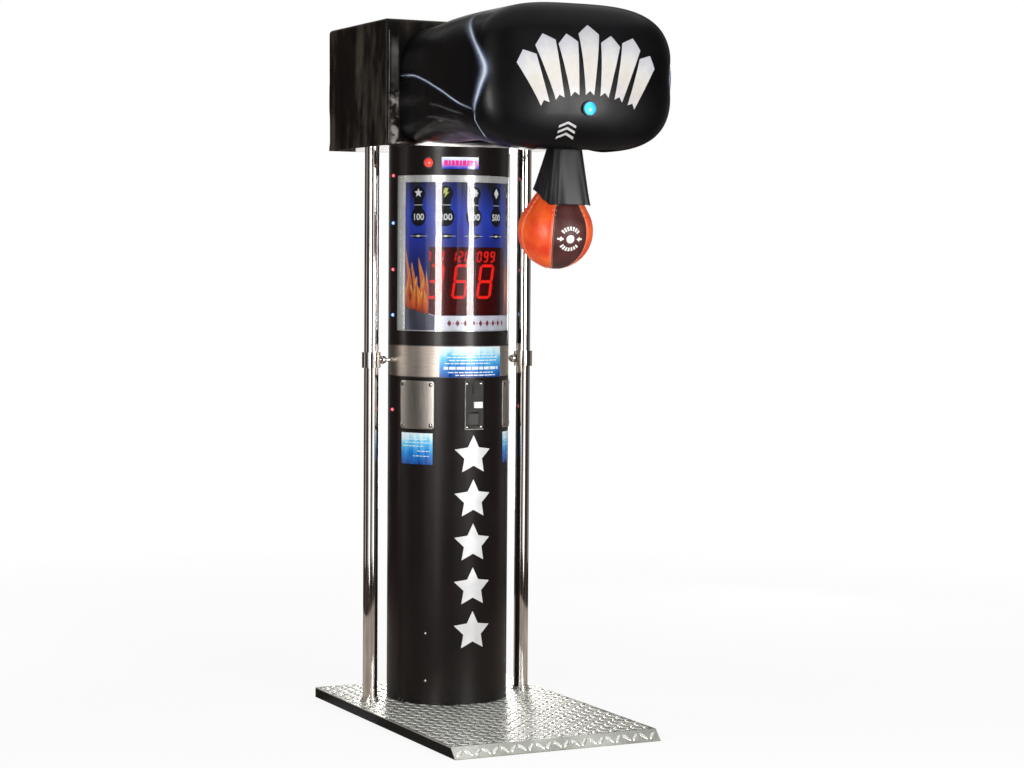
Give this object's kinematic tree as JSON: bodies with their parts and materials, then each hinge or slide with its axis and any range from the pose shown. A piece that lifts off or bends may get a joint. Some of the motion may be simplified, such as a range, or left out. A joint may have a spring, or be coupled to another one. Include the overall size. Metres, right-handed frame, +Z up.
{
  "type": "boxing arcade machine",
  "caption": "Punch-ball arcade machine: a glove-shaped head on a round column with chrome posts and tread-plate base; the ball swings up into the head, with coin unit, display and lock.",
  "frame": {"origin": "on the floor under the column's axis", "axes": "+Z up, +X to the right of a player who faces the machine and stands on the -Y side"},
  "size_m": [0.702, 1.3202, 2.2539],
  "materials": {
    "black_wood": "black painted board",
    "tread_aluminium": "bright diamond tread",
    "zinc_steel": "zinc plated",
    "black_paint": "semi-gloss powder coat",
    "brushed_band": "bright brushed",
    "clear_plastic": "clear polycarbonate",
    "silver_trim": "satin silver",
    "blue_print": "backlit print",
    "red_filter": "dark red transparent",
    "digit_red": "lit segments",
    "circuit_board": "solder mask",
    "black_plastic": "fine texture",
    "red_lens": "lit lens",
    "blue_lens": "lit lens",
    "sign_lens": "lit lens",
    "red_cap": "moulded",
    "blue_cap": "moulded",
    "chrome": "polished",
    "brushed_plate": "brushed",
    "screw_steel": "bright",
    "blue_label": "printed film",
    "silver_vinyl": "silver film",
    "black_cast": "wrinkle paint",
    "white_plastic": "moulded",
    "dark_steel": "grey-black paint",
    "polished_plate": "polished edge",
    "cuff_moulding": "lacquered, airbrushed",
    "glove_moulding": "lacquered, airbrushed",
    "bearing_iron": "as cast",
    "black_rubber": "moulded",
    "ball_leather": "glazed, stitched panels",
    "sleeve_vinyl": "soft vinyl",
    "coil_brass": "wound coil and bracket"
  },
  "bodies": {
    "machine": {"base_board": "black_wood", "tread_plate": "tread_aluminium", "column_flanges": "zinc_steel", "flange_bolts": "zinc_steel", "lower_column": "black_paint", "column_band": "brushed_band", "joint_collar": "zinc_steel", "upper_column": "black_paint", "clear_cover": "clear_plastic", "window_frame": "silver_trim", "print_sheet": "blue_print", "display_filter": "red_filter", "display_shelf": "zinc_steel", "display_digits": "digit_red", "main_board": "circuit_board", "power_supply": "zinc_steel", "speaker": "black_plastic", "power_inlet": "black_plastic", "red_lamps": "red_lens", "blue_lamps": "blue_lens", "lit_sign": "sign_lens", "button_housings": "black_plastic", "left_post": "chrome", "right_post": "chrome", "post_collars": "chrome", "clamp_rings": "chrome", "clamp_bolts": "chrome", "blanking_plates": "brushed_plate", "plate_screws": "screw_steel", "blue_labels": "blue_label", "star_badges": "silver_vinyl", "coin_plate": "black_cast", "coin_validator": "black_plastic", "coin_cup": "black_plastic", "coin_chute": "zinc_steel", "cash_shelf": "zinc_steel", "cash_box": "zinc_steel", "door_hinge": "dark_steel", "head_plate": "polished_plate", "cuff_shell": "cuff_moulding", "cuff_panel": "black_plastic", "glove_shell": "glove_moulding", "glove_tray": "glove_moulding", "head_frame": "dark_steel", "axle_bearings": "bearing_iron", "arm_stops": "black_rubber", "speed_sensor": "black_plastic", "latch_solenoid": "coil_brass"},
    "arm": {"swing_axle": "screw_steel", "swing_arm": "dark_steel", "ball": "ball_leather", "sleeve": "sleeve_vinyl"},
    "start_cap": {"start_button": "blue_cap"},
    "red_cap": {"red_button": "red_cap"},
    "reject_cap": {"reject_button": "white_plastic"},
    "flap": {"return_flap": "black_plastic"},
    "door": {"service_door": "black_paint"},
    "lock": {"door_lock": "screw_steel"},
    "latch": {"latch_hook": "screw_steel"},
    "plunger": {"latch_plunger": "screw_steel"}
  },
  "joints": [
    {"name": "ball_swing", "type": "hinge", "parent": "machine", "child": "arm", "pos_m": [0, -0.83, 1.96], "axis": [1, 0, 0], "range_deg": [0, 82]},
    {"name": "start_press", "type": "slide", "parent": "machine", "child": "start_cap", "axis": [0, 1, 0], "range_m": [0, 0.0035], "stiffness_N_per_m": 400, "springref_m": -0.003},
    {"name": "red_press", "type": "slide", "parent": "machine", "child": "red_cap", "axis": [0.6947, 0.7193, 0], "range_m": [0, 0.0035], "stiffness_N_per_m": 400, "springref_m": -0.003},
    {"name": "reject_press", "type": "slide", "parent": "machine", "child": "reject_cap", "axis": [0, 1, 0], "range_m": [0, 0.003], "stiffness_N_per_m": 400, "springref_m": -0.003},
    {"name": "return_flap_swing", "type": "hinge", "parent": "machine", "child": "flap", "pos_m": [0, -0.201, 0.987], "axis": [1, 0, 0], "range_deg": [0, 55]},
    {"name": "service_door_swing", "type": "hinge", "parent": "machine", "child": "door", "pos_m": [-0.12226, 0.16828, 0.565], "axis": [0, 0, 1], "range_deg": [0, 100]},
    {"name": "door_lock_turn", "type": "hinge", "parent": "door", "child": "lock", "pos_m": [0.0908, 0.1782, 0.565], "axis": [0.454, 0.891, 0], "range_deg": [0, 90]},
    {"name": "latch_swing", "type": "hinge", "parent": "machine", "child": "latch", "pos_m": [0.064, -0.74, 2.02], "axis": [1, 0, 0], "range_deg": [0, 22], "stiffness_Nm_per_rad": 0.15, "springref_deg": -22.92},
    {"name": "plunger_push", "type": "slide", "parent": "machine", "child": "plunger", "axis": [0, -1, 0], "range_m": [0, 0.0085]}
  ],
  "couplings": [
    {"joint": "plunger_push", "follows": "latch_swing", "m_per_rad": 0.021877}
  ]
}
